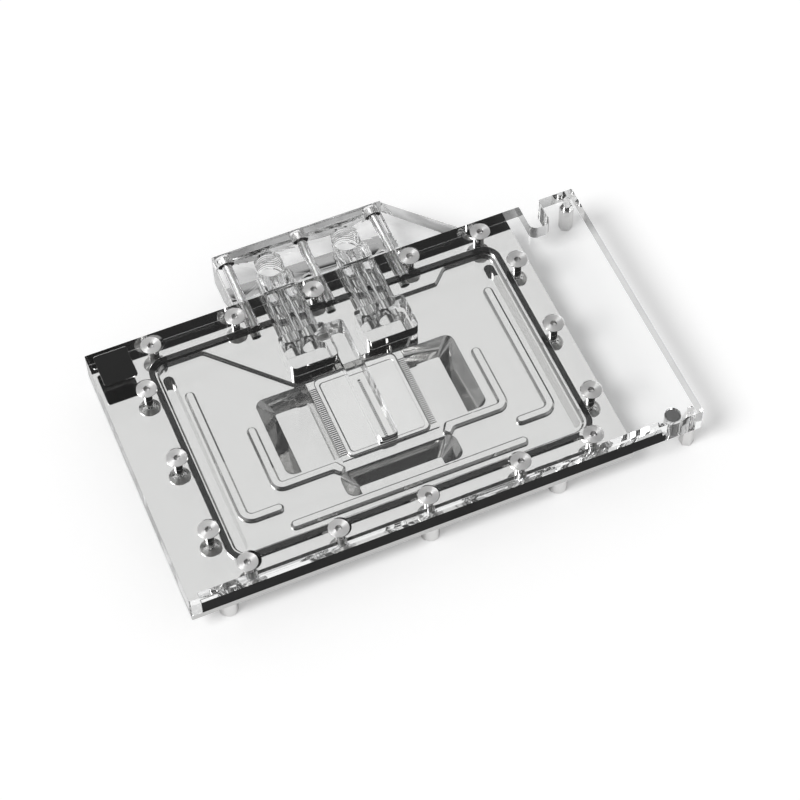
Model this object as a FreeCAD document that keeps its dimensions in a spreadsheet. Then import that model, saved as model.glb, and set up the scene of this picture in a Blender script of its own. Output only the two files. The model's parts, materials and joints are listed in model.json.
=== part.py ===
import FreeCAD
import Part
import math
import os
from types import SimpleNamespace

# Graphics card water block: a nickel plated cold plate under a clear cover, with a
# clear terminal on the back edge, a light strip in the front edge and eight posts.
# The sketches are drawn from the cover's front left corner, X along its length and
# Y towards the terminal, and heights count from the surface that the posts stand on.
# Each sub-part is then moved so that the origin is at the centre of the footprint.

SIZES = {
    # clear cover
    "cover_length": 225.0,
    "cover_depth": 127.6,
    "cover_thick": 12.0,
    "overhang_length": 31.2,
    "notch_margin": 20.7,
    "notch_width": 9.4,
    "notch_depth": 13.8,
    "notch_radius": 3.2,
    "corner_radius": 0.5,
    # cold plate and the chamber in it
    "plate_thick": 3.0,
    "chamber_recess": 1.5,
    "chamber_margin": 2.8,
    "chamber_radius": 5.0,
    "chamber_bevel": 0.9,
    "shoulder_left": 20.6,
    "shoulder_right": 21.0,
    "shoulder_step": 6.2,
    "shoulder_radius": 2.0,
    # gutters at the ends of the chamber, measured from its edges
    "gutter_gap": 0.6,
    "gutter_width": 4.6,
    "gutter_front": 2.2,
    "gutter_back": 4.7,
    "gutter_recess": 5.0,
    # ribs left standing in the chamber: the corner ribs beside the gutters, the hook
    # ribs round the side pockets and the front rib along the chamber's front edge
    "rib_width": 4.3,
    "corner_rib_gap": 1.0,
    "corner_rib_foot": 18.6,
    "corner_rib_front": 12.4,
    "corner_rib_back": 16.1,
    "corner_rib_radius": 6.3,
    "hook_rib_gap": 3.7,
    "hook_rib_front": 5.6,
    "hook_rib_back": 11.6,
    "hook_rib_inset": 1.6,
    "hook_rib_radius": 5.5,
    "hook_rib_lead": 2.8,
    "front_rib_gap": 2.5,
    # deep pockets beside and before the jet plate
    "pocket_recess": 7.5,
    "pocket_slope_side": 7.4,
    "pocket_slope_end": 4.6,
    "pocket_radius": 4.0,
    "side_pocket_front": 2.3,
    "side_pocket_back": 0.2,
    "front_pocket_front": 7.7,
    "front_pocket_back": 4.7,
    "wall_under": 1.7,
    "wall_beside": 2.0,
    "pedestal_radius": 3.0,
    # jet plate and the fins under it
    "jet_plate_thick": 1.0,
    "jet_plate_length": 37.4,
    "jet_plate_radius": 3.0,
    "jet_plate_front": 25.0,
    "jet_plate_back": 3.8,
    "jet_rim_side": 2.2,
    "jet_rim_front": 2.2,
    "jet_rim_back": 3.3,
    "jet_recess": 0.3,
    "slit_width": 1.4,
    "slit_front": 0.5,
    "slit_back": 3.0,
    "fin_shoulder": 2.8,
    "trench_depth": 3.2,
    "trench_radius": 1.5,
    "fin_recess": 4.0,
    "fin_pitch": 1.0,
    "fin_gap": 0.5,
    # chamber seal
    "seal_margin_left": 23.8,
    "seal_margin_right": 11.4,
    "seal_margin_front": 13.5,
    "seal_margin_back": 10.1,
    "seal_radius": 7.0,
    "seal_width": 2.4,
    "seal_height": 1.5,
    # flow passages in the cover
    "duct_bore": 7.6,
    "duct_pitch": 8.8,
    "duct_drop": 6.0,
    "box_margin_back": 21.6,
    "box_depth": 18.6,
    "box_height": 9.4,
    "box_radius": 2.5,
    "inlet_box_length": 21.4,
    "outlet_box_length": 23.2,
    "outlet_overlap": 3.0,
    "feed_width": 8.8,
    "feed_height": 5.0,
    "feed_overlap": 8.0,
    # terminal
    "terminal_offset": 3.1,
    "terminal_length": 78.4,
    "terminal_depth": 27.6,
    "terminal_height": 18.0,
    "terminal_slope_back": 16.4,
    "terminal_slope_front": 6.0,
    "terminal_edge": 0.5,
    "wing_length": 25.6,
    "wing_depth": 26.4,
    "port_bore": 11.8,
    "port_mouth": 13.6,
    "port_reach": 11.5,
    "port_set_back": 14.2,
    "duct_entry": 1.9,
    "ring_width": 1.5,
    "ring_height": 1.1,
    "ring_margin": 0.5,
    # terminal screws
    "end_screw_margin": 4.9,
    "end_screw_shank": 4.0,
    "end_screw_head": 7.0,
    "end_screw_head_height": 4.0,
    "end_screw_sink": 0.4,
    "end_screw_reach": 12.0,
    "end_screw_hex": 3.0,
    "end_screw_hex_reach": 2.2,
    # cover screws
    "screw_head": 8.8,
    "screw_shank": 3.5,
    "screw_hex": 2.5,
    "screw_hex_reach": 1.6,
    "screw_sink": 0.2,
    "screw_tip_gap": 0.3,
    "screw_tip_chamfer": 0.5,
    "screw_margin_left": 18.5,
    "screw_margin_right": 6.5,
    "screw_margin_front": 8.0,
    "screw_margin_back": 5.5,
    "screw_row_inset": 4.9,
    "screw_beside_end": 6.7,
    "screw_beside_middle": 5.0,
    "screw_column_gap": 7.95,
    # posts
    "post_length": 10.0,
    "post_diameter": 8.0,
    "post_margin": 0.7,
    "post_left": 16.5,
    "post_offset": 1.4,
    "post_margin_right": 31.8,
    "post_stud": 2.5,
    "post_stud_reach": 2.0,
    "post_bore": 2.2,
    "post_bore_reach": 6.0,
    "post_chamfer": 0.6,
    "hex_post_flats": 5.5,
    "hex_post_inset": 3.9,
    "hex_post_stud": 2.9,
    "hex_post_stud_reach": 9.0,
    # light strip in the front edge
    "strip_left": 5.0,
    "strip_margin_right": 16.7,
    "strip_height": 7.3,
    "strip_thick": 1.0,
    "strip_inset": 0.1,
    "strip_slot_depth": 4.0,
    "strip_end_length": 2.1,
    "strip_end_height": 4.5,
    "lamp_count": 12,
    "lamp_margin": 9.3,
    "lamp_width": 3.5,
    "lamp_height": 2.8,
    "lamp_thick": 1.4,
    "resistor_width": 2.0,
    "resistor_height": 1.2,
    "resistor_thick": 0.6,
    "resistor_offset": 5.2,
    "plug_diameter": 6.8,
    "plug_height": 9.4,
    "plug_inset": 4.3,
    "plug_wall": 1.3,
    # badge
    "badge_left": 3.1,
    "badge_margin_back": 1.9,
    "badge_length": 14.6,
    "badge_depth": 15.8,
    "badge_thick": 0.8,
    "badge_radius": 1.0,
    # clearance round pieces that are laid or screwed into a recess, and the thin gap
    # that is left between faces that are pressed together
    "fit_gap": 0.1,
    "seat_gap": 0.05,
}

# Places as shares of a half length: of the row for the screws of the front edge, of the
# chamber for the pockets' ends and the front rib, and of the terminal for its ports
FRONT_ROW = (-1.0, -0.485, 0.03, 0.57, 1.0)
SIDE_POCKET_END = 0.5856
FRONT_POCKET_END = 0.3373
FRONT_RIB_END = 0.685
PORT_PLACE = 0.4515

doc = FreeCAD.newDocument("WaterBlock")
sheet = doc.addObject("Spreadsheet::Sheet", "Sizes")
for row, (alias, number) in enumerate(SIZES.items(), start=1):
    sheet.set(f"A{row}", alias)
    sheet.set(f"B{row}", str(number))
    sheet.setAlias(f"B{row}", alias)
doc.recompute()
s = SimpleNamespace(**{alias: float(sheet.get(alias)) for alias in SIZES})

# Heights above the card, and depths from the front edge, as expressions of the sheet
PLATE_BOTTOM = "Sizes.post_length"
PLATE_TOP = "(Sizes.post_length + Sizes.plate_thick)"
CHAMBER_FLOOR = "(Sizes.post_length + Sizes.plate_thick - Sizes.chamber_recess)"
FIN_TOP = "(Sizes.post_length + Sizes.plate_thick - Sizes.jet_plate_thick)"
COVER_BOTTOM = "(Sizes.post_length + Sizes.plate_thick + Sizes.seat_gap)"
COVER_TOP = "(Sizes.post_length + Sizes.plate_thick + Sizes.seat_gap + Sizes.cover_thick)"
PLATE_LENGTH = "(Sizes.cover_length - Sizes.overhang_length)"
CENTRE = f"(({PLATE_LENGTH} + Sizes.seal_margin_left - Sizes.seal_margin_right) / 2)"
TERMINAL_LEFT = f"({CENTRE} + Sizes.terminal_offset - Sizes.terminal_length / 2)"
TERMINAL_FRONT = "(Sizes.cover_depth + Sizes.seat_gap)"
TERMINAL_BACK = "(Sizes.cover_depth + Sizes.seat_gap + Sizes.terminal_depth)"
plate_top = s.post_length + s.plate_thick
cover_bottom = plate_top + s.seat_gap
cover_top = cover_bottom + s.cover_thick
duct_level = cover_top - s.duct_drop

# Lines that several pieces share
plate_length = s.cover_length - s.overhang_length
seal_left = s.seal_margin_left
seal_right = plate_length - s.seal_margin_right
seal_front = s.seal_margin_front
seal_back = s.cover_depth - s.seal_margin_back
centre_x = (seal_left + seal_right) / 2
chamber_left = seal_left + s.chamber_margin
chamber_right = seal_right - s.chamber_margin
chamber_front = seal_front + s.chamber_margin
chamber_back = seal_back - s.chamber_margin
half_chamber = (chamber_right - chamber_left) / 2
box_back = s.cover_depth - s.box_margin_back
box_front = box_back - s.box_depth
jet_left = centre_x - s.jet_plate_length / 2
jet_right = centre_x + s.jet_plate_length / 2
jet_front = chamber_front + s.jet_plate_front
jet_back = box_front - s.jet_plate_back
trench_back = jet_back + s.trench_depth
fins_left = jet_left - s.fin_shoulder
fins_right = jet_right + s.fin_shoulder
window_front = jet_front + s.jet_rim_front
window_back = jet_back - s.jet_rim_back
side_pocket_reach = SIDE_POCKET_END * half_chamber
side_pocket_front = jet_front + s.side_pocket_front
side_pocket_back = jet_back - s.side_pocket_back
front_pocket_reach = FRONT_POCKET_END * half_chamber
front_pocket_front = chamber_front + s.front_pocket_front
front_pocket_back = jet_front - s.front_pocket_back
gutter_outer = half_chamber - s.gutter_gap
gutter_inner = gutter_outer - s.gutter_width
gutter_front = chamber_front + s.gutter_front
gutter_back = chamber_back - s.gutter_back
terminal_middle = centre_x + s.terminal_offset
terminal_right = terminal_middle + s.terminal_length / 2
port_reach = PORT_PLACE * s.terminal_length / 2
end_screw_reach = s.terminal_length / 2 - s.end_screw_margin
terminal_front = s.cover_depth + s.seat_gap
terminal_back = terminal_front + s.terminal_depth
ports_x = [terminal_middle - port_reach, terminal_middle + port_reach]
port_y = terminal_front + s.port_set_back
inlet_box = (ports_x[0] - s.inlet_box_length / 2, ports_x[0] + s.inlet_box_length / 2)
outlet_box = (ports_x[1] - s.outlet_box_length / 2, ports_x[1] + s.outlet_box_length / 2)
end_screws_x = [terminal_middle + step * end_screw_reach for step in (-1, 0, 1)]
hex_post_x = s.cover_length - s.hex_post_inset
strip_right = s.cover_length - s.strip_margin_right
plug_x = strip_right + s.plug_wall + s.plug_diameter / 2
screw_hole = s.screw_shank / 2 + s.fit_gap
badge_front = s.cover_depth - s.badge_margin_back - s.badge_depth

finished = []


# Helpers

def new_body(name):
    body = doc.addObject("PartDesign::Body", name)
    body.Label = name
    return body


def finish(item, name, x="0", y="0"):
    """Names a sub-part and moves it from the corner frame to the part's own frame."""
    item.Label = name
    item.setExpression("Placement.Base.x", f"{x} - Sizes.cover_length / 2")
    item.setExpression("Placement.Base.y", f"{y} - ({TERMINAL_BACK}) / 2")
    finished.append(item)


def new_sketch(body, name, role="XY_Plane", offset=None):
    """Adds a sketch on one of the body's origin planes; the offset is an expression."""
    sketch = body.newObject("Sketcher::SketchObject", name)
    plane = [item for item in body.Origin.OriginFeatures if item.Role == role][0]
    sketch.AttachmentSupport = [(plane, "")]
    sketch.MapMode = "FlatFace"
    if offset:
        sketch.setExpression("AttachmentOffset.Base.z", offset)
    return sketch


def add_outline(sketch, corners):
    """Draws a closed outline; each corner is (x, y, radius), a radius of 0 is sharp."""
    ends = []
    arcs = []
    count = len(corners)
    for index, (x, y, radius) in enumerate(corners):
        corner = FreeCAD.Vector(x, y, 0)
        if radius <= 0:
            ends.append((corner, corner))
            arcs.append(None)
            continue
        before = FreeCAD.Vector(*corners[index - 1][:2], 0) - corner
        after = FreeCAD.Vector(*corners[(index + 1) % count][:2], 0) - corner
        before.normalize()
        after.normalize()
        half = before.getAngle(after) / 2
        reach = radius / math.tan(half)
        middle = before + after
        middle.normalize()
        centre = corner + middle * (radius / math.sin(half))
        ends.append((corner + before * reach, corner + after * reach))
        arcs.append(Part.Arc(ends[-1][0], centre - middle * radius, ends[-1][1]))
    for index in range(count):
        if arcs[index]:
            sketch.addGeometry(arcs[index], False)
        start = ends[index][1]
        end = ends[(index + 1) % count][0]
        if start.distanceToPoint(end) > 1e-6:
            sketch.addGeometry(Part.LineSegment(start, end), False)


def rectangle(left, right, low, high, radius=0.0):
    return [(left, low, radius), (right, low, radius), (right, high, radius), (left, high, radius)]


def add_circle(sketch, x, y, radius):
    centre = FreeCAD.Vector(x, y, 0)
    sketch.addGeometry(Part.Circle(centre, FreeCAD.Vector(0, 0, 1), radius), False)


def add_hexagon(sketch, x, y, flats):
    reach = flats / math.sqrt(3)
    turns = [math.radians(60 * side + 30) for side in range(6)]
    add_outline(sketch, [(x + reach * math.cos(turn), y + reach * math.sin(turn), 0) for turn in turns])


def pad(body, sketch, length, flip=False):
    feature = body.newObject("PartDesign::Pad", sketch.Name + "_pad")
    feature.Profile = sketch
    feature.Reversed = flip
    feature.setExpression("Length", length)
    doc.recompute()
    return feature


def check_cut(body, before, name):
    if body.Shape.Volume > before - 1e-6:
        raise RuntimeError(f"{name} cuts nothing")


def pocket(body, sketch, length, flip=False):
    before = body.Shape.Volume
    feature = body.newObject("PartDesign::Pocket", sketch.Name + "_cut")
    feature.Profile = sketch
    feature.Reversed = flip
    feature.setExpression("Length", length)
    doc.recompute()
    check_cut(body, before, sketch.Name)
    return feature


def countersunk_hole(body, sketch, bore, mouth, reach):
    """Round holes with a 90 degree seat at their mouth; the sizes are expressions."""
    before = body.Shape.Volume
    doc.recompute()
    hole = body.newObject("PartDesign::Hole", sketch.Name + "_hole")
    hole.Profile = sketch
    doc.recompute()
    hole.Threaded = False
    hole.ThreadType = "None"
    hole.DepthType = "Dimension"
    hole.DrillPoint = "Flat"
    hole.HoleCutType = "Countersink"
    hole.HoleCutCustomValues = True
    hole.setExpression("Diameter", bore)
    hole.setExpression("Depth", reach)
    hole.setExpression("HoleCutDiameter", mouth)
    hole.HoleCutCountersinkAngle = 90.0
    doc.recompute()
    check_cut(body, before, sketch.Name)
    return hole


def revolve(body, sketch):
    """Turns a half profile, drawn beside the sketch's vertical axis, into a round solid."""
    feature = body.newObject("PartDesign::Revolution", sketch.Name + "_turned")
    feature.Profile = sketch
    feature.ReferenceAxis = (sketch, ["V_Axis"])
    feature.Angle = 360.0
    doc.recompute()
    return feature


def copies(name, seed, places):
    """One sub-part of separate, identical solids: the seed body's solid at each place."""
    group = doc.addObject("Part::Feature", name)
    solids = []
    for place in places:
        solid = seed.Shape.copy()
        solid.translate(FreeCAD.Vector(*place))
        solids.append(solid)
    group.Shape = Part.makeCompound(solids)
    return group


def cover_screw_places():
    """Centres of the cover screws: two rows of five and two columns of three."""
    reach = (seal_right - seal_left) / 2 - s.screw_row_inset
    back = s.cover_depth - s.screw_margin_back
    first, middle, last = end_screws_x
    back_row = [centre_x - reach, first - s.screw_beside_end, middle - s.screw_beside_middle,
                last + s.screw_beside_middle, centre_x + reach]
    places = [(x, back) for x in back_row]
    places += [(centre_x + share * reach, s.screw_margin_front) for share in FRONT_ROW]
    level = (s.screw_margin_front + back) / 2
    pitch = badge_front - s.screw_column_gap - level
    for x in (s.screw_margin_left, plate_length - s.screw_margin_right):
        places += [(x, level + step * pitch) for step in (-1, 0, 1)]
    return places


def post_places():
    """Name ending and centre of each round post, as expressions of the sheet."""
    front = "(Sizes.post_diameter / 2 + Sizes.post_margin)"
    back = "(Sizes.cover_depth - Sizes.post_diameter / 2 - Sizes.post_margin)"
    columns = {
        "left": "Sizes.post_left",
        "middle": CENTRE + " + Sizes.post_offset",
        "right": PLATE_LENGTH + " - Sizes.post_margin_right",
    }
    places = []
    for edge, y in (("front", front), ("back", back)):
        places += [(f"{edge}_{column}", x, y) for column, x in columns.items()]
    return places


def post_centres():
    front = s.post_diameter / 2 + s.post_margin
    back = s.cover_depth - front
    columns = (s.post_left, centre_x + s.post_offset, plate_length - s.post_margin_right)
    return [(x, y) for y in (front, back) for x in columns]


# Cold plate: chamber, ribs, deep pockets, fins and the pedestals under them

def bevel_chamber(body, chamber):
    """Slopes the upper part of the chamber's walls and of the ribs that stand in it."""
    plate_box = body.Shape.BoundBox
    rims = []
    for number, edge in enumerate(chamber.Shape.Edges, start=1):
        box = edge.BoundBox
        level = abs(box.ZMin - plate_top) < 1e-6 and abs(box.ZMax - plate_top) < 1e-6
        outside = min(box.XMin - plate_box.XMin, plate_box.XMax - box.XMax) < s.corner_radius + 1e-6
        outside = outside or min(box.YMin - plate_box.YMin, plate_box.YMax - box.YMax) < s.corner_radius + 1e-6
        if level and not outside:
            rims.append(f"Edge{number}")
    bevel = body.newObject("PartDesign::Chamfer", "chamber_bevel")
    bevel.Base = (chamber, rims)
    bevel.setExpression("Size", "Sizes.chamber_bevel")
    doc.recompute()


def chamber_outline():
    step_back = chamber_back - s.shoulder_step
    step_right = chamber_right - s.shoulder_right
    outlet_edge = outlet_box[1] - s.outlet_overlap
    outlet_front = box_front + 1.0
    slant = side_pocket_back
    radius = s.chamber_radius
    turn = s.shoulder_radius
    return [
        (chamber_left, chamber_front, radius),
        (chamber_right, chamber_front, radius),
        (chamber_right, chamber_back, radius),
        (step_right, chamber_back, turn),
        (step_right - s.shoulder_step, step_back, turn),
        (outlet_edge, step_back, turn / 2),
        (outlet_edge, outlet_front, turn),
        (outlet_edge - (outlet_front - slant) * 0.8, slant, turn),
        (inlet_box[0] - 0.5, slant, turn),
        (chamber_left + s.shoulder_left, chamber_back, turn),
        (chamber_left, chamber_back, radius),
    ]


def corner_rib(side):
    """An L shaped rib in a front corner of the chamber; side is -1 left or 1 right."""
    outer = centre_x + side * (gutter_inner - s.corner_rib_gap)
    inner = outer - side * s.rib_width
    end = outer - side * s.corner_rib_foot
    low = chamber_front + s.corner_rib_front
    high = chamber_back - s.corner_rib_back
    tip = s.rib_width * 0.49
    return [
        (outer, low, s.corner_rib_radius),
        (outer, high, tip),
        (inner, high, tip),
        (inner, low + s.rib_width, s.corner_rib_radius - s.rib_width),
        (end, low + s.rib_width, tip),
        (end, low, tip),
    ]


def hook_rib(side):
    """A rib round the outside of a side pocket, which ends beside the front pocket."""
    inner = centre_x + side * (side_pocket_reach + s.hook_rib_gap)
    outer = inner + side * s.rib_width
    end = centre_x + side * (front_pocket_reach - s.hook_rib_inset)
    low = side_pocket_front - s.hook_rib_front
    lead = s.hook_rib_lead
    high = side_pocket_back - s.hook_rib_back
    tip = s.rib_width * 0.49
    return [
        (outer, low, s.hook_rib_radius),
        (outer, high, tip),
        (inner, high, tip),
        (inner, low + s.rib_width, s.hook_rib_radius - s.rib_width),
        (end, low + s.rib_width, lead / 2),
        (end - side * lead, low, lead / 2),
        (end, low - lead, lead / 2),
        (end + side * lead, low, lead / 2),
    ]


def front_rib():
    reach = FRONT_RIB_END * half_chamber
    front = chamber_front + s.front_rib_gap
    return rectangle(centre_x - reach, centre_x + reach, front, front + s.rib_width, s.rib_width * 0.49)


def gutters():
    """Left and right edge of the two upright gutters at the ends of the chamber."""
    return [(centre_x - gutter_outer, centre_x - gutter_inner),
            (centre_x + gutter_inner, centre_x + gutter_outer)]


def sloped_pocket(body, name, mouth_edges, slopes, radii):
    """A pocket whose ends and back slope in to its floor, while its front stands upright."""
    left, right, front, back = mouth_edges
    left_slope, right_slope, back_slope = slopes
    left_radius, right_radius = radii
    mouth = new_sketch(body, name + "_mouth", offset=CHAMBER_FLOOR)
    floor = new_sketch(body, name + "_floor", offset=CHAMBER_FLOOR + " - Sizes.pocket_recess")
    add_outline(mouth, [
        (left, front, left_radius),
        (right, front, right_radius),
        (right, back, right_radius),
        (left, back, left_radius),
    ])
    add_outline(floor, [
        (left + left_slope, front, left_radius / 4),
        (right - right_slope, front, right_radius / 4),
        (right - right_slope, back - back_slope, right_radius / 4),
        (left + left_slope, back - back_slope, left_radius / 4),
    ])
    before = body.Shape.Volume
    loft = body.newObject("PartDesign::SubtractiveLoft", name + "_cut")
    loft.Profile = mouth
    loft.Sections = [floor]
    loft.Ruled = True
    doc.recompute()
    check_cut(body, before, name)


def make_cold_plate():
    body = new_body("cold_plate")
    blank = new_sketch(body, "plate_blank", offset=PLATE_BOTTOM)
    add_outline(blank, rectangle(0, plate_length, 0, s.cover_depth, s.corner_radius))
    pad(body, blank, "Sizes.plate_thick")

    # Under the deep pockets and the fins: the faces that touch the card's chips
    wall = s.wall_beside
    side_left = centre_x - side_pocket_reach - wall
    side_right = centre_x + side_pocket_reach + wall
    front_left = centre_x - front_pocket_reach - wall
    front_right = centre_x + front_pocket_reach + wall
    turn = s.pedestal_radius
    pedestal = new_sketch(body, "chip_pedestal", offset=PLATE_BOTTOM)
    add_outline(pedestal, [
        (side_left, side_pocket_front - wall, turn),
        (front_left, side_pocket_front - wall, turn),
        (front_left, front_pocket_front - wall, turn),
        (front_right, front_pocket_front - wall, turn),
        (front_right, side_pocket_front - wall, turn),
        (side_right, side_pocket_front - wall, turn),
        (side_right, trench_back + wall, turn),
        (side_left, trench_back + wall, turn),
    ])
    drop = "Sizes.pocket_recess + Sizes.wall_under - (Sizes.plate_thick - Sizes.chamber_recess)"
    pad(body, pedestal, drop, flip=True)

    rails = new_sketch(body, "regulator_rails", offset=PLATE_BOTTOM)
    for left, right in gutters():
        add_outline(rails, rectangle(left - wall, right + wall, gutter_front - wall, gutter_back + wall, 2.0))
    drop = "Sizes.gutter_recess + Sizes.wall_under - (Sizes.plate_thick - Sizes.chamber_recess)"
    pad(body, rails, drop, flip=True)

    chamber = new_sketch(body, "chamber", offset=PLATE_TOP)
    add_outline(chamber, chamber_outline())
    for side in (-1, 1):
        add_outline(chamber, corner_rib(side))
        add_outline(chamber, hook_rib(side))
    add_outline(chamber, front_rib())
    chamber_cut = pocket(body, chamber, "Sizes.chamber_recess")
    bevel_chamber(body, chamber_cut)

    # The block of fins stands above the chamber's floor and carries the jet plate, whose
    # back edge is let in behind the chamber; the trench behind it feeds the slit
    block = new_sketch(body, "fin_block", offset=CHAMBER_FLOOR)
    add_outline(block, rectangle(fins_left, fins_right, jet_front, jet_back))
    pad(body, block, "Sizes.chamber_recess - Sizes.jet_plate_thick")
    seat = new_sketch(body, "jet_seat", offset=PLATE_TOP)
    add_outline(seat, rectangle(jet_left, jet_right, jet_front, jet_back))
    pocket(body, seat, "Sizes.jet_plate_thick")
    trench = new_sketch(body, "feed_trench", offset=PLATE_TOP)
    add_outline(trench, rectangle(jet_left, jet_right, jet_back, trench_back, s.trench_radius))
    pocket(body, trench, "Sizes.jet_plate_thick + Sizes.fin_recess")

    side_slope = s.pocket_slope_side
    end_slope = s.pocket_slope_end
    radius = s.pocket_radius
    far_left = centre_x - side_pocket_reach
    far_right = centre_x + side_pocket_reach
    sloped_pocket(body, "left_pocket", (far_left, fins_left, side_pocket_front, side_pocket_back),
                  (side_slope, 0.0, end_slope), (radius, 0.4))
    sloped_pocket(body, "right_pocket", (fins_right, far_right, side_pocket_front, side_pocket_back),
                  (0.0, side_slope, end_slope), (0.4, radius))
    sloped_pocket(body, "front_pocket",
                  (centre_x - front_pocket_reach, centre_x + front_pocket_reach,
                   front_pocket_front, front_pocket_back),
                  (side_slope, side_slope, end_slope), (radius, radius))

    gutter = new_sketch(body, "gutters", offset=CHAMBER_FLOOR)
    for left, right in gutters():
        add_outline(gutter, rectangle(left, right, gutter_front, gutter_back, s.gutter_width * 0.49))
    pocket(body, gutter, "Sizes.gutter_recess")

    fins = new_sketch(body, "fin_gaps", offset=FIN_TOP)
    count = int((window_back - window_front) / s.fin_pitch)
    for number in range(count):
        low = window_front + (number + 0.5) * s.fin_pitch - s.fin_gap / 2
        add_outline(fins, rectangle(fins_left - 0.5, fins_right + 0.5, low, low + s.fin_gap))
    pocket(body, fins, "Sizes.fin_recess")

    holes = new_sketch(body, "screw_threads", offset=PLATE_TOP)
    for x, y in cover_screw_places():
        add_circle(holes, x, y, screw_hole)
    pocket(body, holes, "Sizes.plate_thick")
    studs = new_sketch(body, "post_threads", offset=PLATE_BOTTOM)
    for x, y in post_centres():
        add_circle(studs, x, y, s.post_stud / 2 + s.fit_gap)
    pocket(body, studs, "Sizes.post_stud_reach + Sizes.fit_gap", flip=True)
    finish(body, "cold_plate")
    return body


# Clear cover: flow passages, seal groove and the seats of what is set into it

def make_clear_cover():
    body = new_body("clear_cover")
    notch_middle = s.cover_length - s.notch_margin
    notch_left = notch_middle - s.notch_width / 2
    notch_right = notch_middle + s.notch_width / 2
    notch_front = s.cover_depth - s.notch_depth
    blank = new_sketch(body, "cover_blank", offset=COVER_BOTTOM)
    add_outline(blank, [
        (0, 0, s.corner_radius),
        (s.cover_length, 0, s.corner_radius),
        (s.cover_length, s.cover_depth, s.corner_radius),
        (notch_right, s.cover_depth, s.corner_radius),
        (notch_right, notch_front, s.notch_radius),
        (notch_left, notch_front, s.notch_radius),
        (notch_left, s.cover_depth, s.corner_radius),
        (0, s.cover_depth, s.corner_radius),
    ])
    pad(body, blank, "Sizes.cover_thick")

    boxes = new_sketch(body, "flow_boxes", offset=COVER_BOTTOM)
    add_outline(boxes, rectangle(*inlet_box, box_front, box_back, s.box_radius))
    add_outline(boxes, rectangle(*outlet_box, box_front, box_back, s.box_radius))
    pocket(body, boxes, "Sizes.box_height", flip=True)

    feed_left = centre_x - s.feed_width / 2
    feed_right = centre_x + s.feed_width / 2
    feed_front = window_front - 0.5
    feed = new_sketch(body, "feed_groove", offset=COVER_BOTTOM)
    add_outline(feed, [
        (feed_left, feed_front, s.box_radius),
        (feed_right, feed_front, s.box_radius),
        (feed_right, box_back, s.box_radius),
        (inlet_box[1] - 3.0, box_back, 0),
        (inlet_box[1] - 3.0, box_back - s.feed_overlap, 0),
        (feed_left, box_back - s.feed_overlap, 0),
    ])
    pocket(body, feed, "Sizes.feed_height", flip=True)

    ducts = new_sketch(body, "ducts", "XZ_Plane", "-Sizes.cover_depth")
    for port_x in ports_x:
        for side in (-1, 1):
            add_circle(ducts, port_x + side * s.duct_pitch / 2, duct_level, s.duct_bore / 2)
    pocket(body, ducts, "Sizes.box_margin_back", flip=True)

    threads = new_sketch(body, "terminal_threads", "XZ_Plane", "-Sizes.cover_depth")
    for x in end_screws_x:
        add_circle(threads, x, duct_level, s.end_screw_shank / 2 + s.fit_gap)
    pocket(body, threads, "Sizes.end_screw_reach + 3 * Sizes.fit_gap", flip=True)

    groove = new_sketch(body, "seal_groove", offset=COVER_BOTTOM)
    add_ring(groove, s.seal_width / 2 + s.fit_gap)
    pocket(body, groove, "Sizes.seal_height", flip=True)

    seats = new_sketch(body, "screw_seats", offset=COVER_TOP)
    for x, y in cover_screw_places():
        add_circle(seats, x, y, screw_hole)
    countersunk_hole(body, seats, "Sizes.screw_shank + 2 * Sizes.fit_gap",
                     "Sizes.screw_head + 2 * (Sizes.screw_sink + Sizes.seat_gap)", "Sizes.cover_thick")

    slot = new_sketch(body, "strip_slot", "XZ_Plane")
    gap = 3 * s.fit_gap
    left = s.strip_left - gap
    middle = strip_right - s.strip_end_length + gap
    right = strip_right + gap
    top = plate_top + s.strip_height + gap
    end_top = plate_top + s.strip_end_height + gap
    add_outline(slot, [
        (left, cover_bottom, 0),
        (right, cover_bottom, 0),
        (right, end_top, 0.5),
        (middle, end_top, 0.5),
        (middle, top, 0.5),
        (left, top, 0.5),
    ])
    pocket(body, slot, "Sizes.strip_slot_depth")

    plug = new_sketch(body, "plug_hole", offset=COVER_BOTTOM)
    add_circle(plug, plug_x, s.plug_inset, s.plug_diameter / 2 + s.fit_gap)
    pocket(body, plug, "Sizes.plug_height + Sizes.fit_gap", flip=True)

    studs = new_sketch(body, "hex_post_threads", offset=COVER_BOTTOM)
    for y in (s.hex_post_inset, s.cover_depth - s.hex_post_inset):
        add_circle(studs, hex_post_x, y, s.hex_post_stud / 2 + s.fit_gap)
    pocket(body, studs, "Sizes.hex_post_stud_reach + 3 * Sizes.fit_gap", flip=True)

    recess = new_sketch(body, "badge_recess", offset=COVER_TOP)
    add_badge(recess, s.fit_gap)
    pocket(body, recess, "Sizes.badge_thick + Sizes.seat_gap")
    finish(body, "clear_cover")
    return body


def add_ring(sketch, half_width):
    """Both edges of a ring that follows the seal's centre line."""
    for side in (-1, 1):
        grow = side * half_width
        add_outline(sketch, rectangle(seal_left - grow, seal_right + grow, seal_front - grow,
                                      seal_back + grow, s.seal_radius + grow))


def add_badge(sketch, grow):
    left = s.badge_left - grow
    right = s.badge_left + s.badge_length + grow
    back = s.cover_depth - s.badge_margin_back + grow
    add_outline(sketch, rectangle(left, right, badge_front - grow, back, s.badge_radius + grow))


def make_cover_seal():
    body = new_body("cover_seal")
    ring = new_sketch(body, "seal_ring", offset=PLATE_TOP)
    add_ring(ring, s.seal_width / 2)
    pad(body, ring, "Sizes.seal_height")
    finish(body, "cover_seal")


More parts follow.
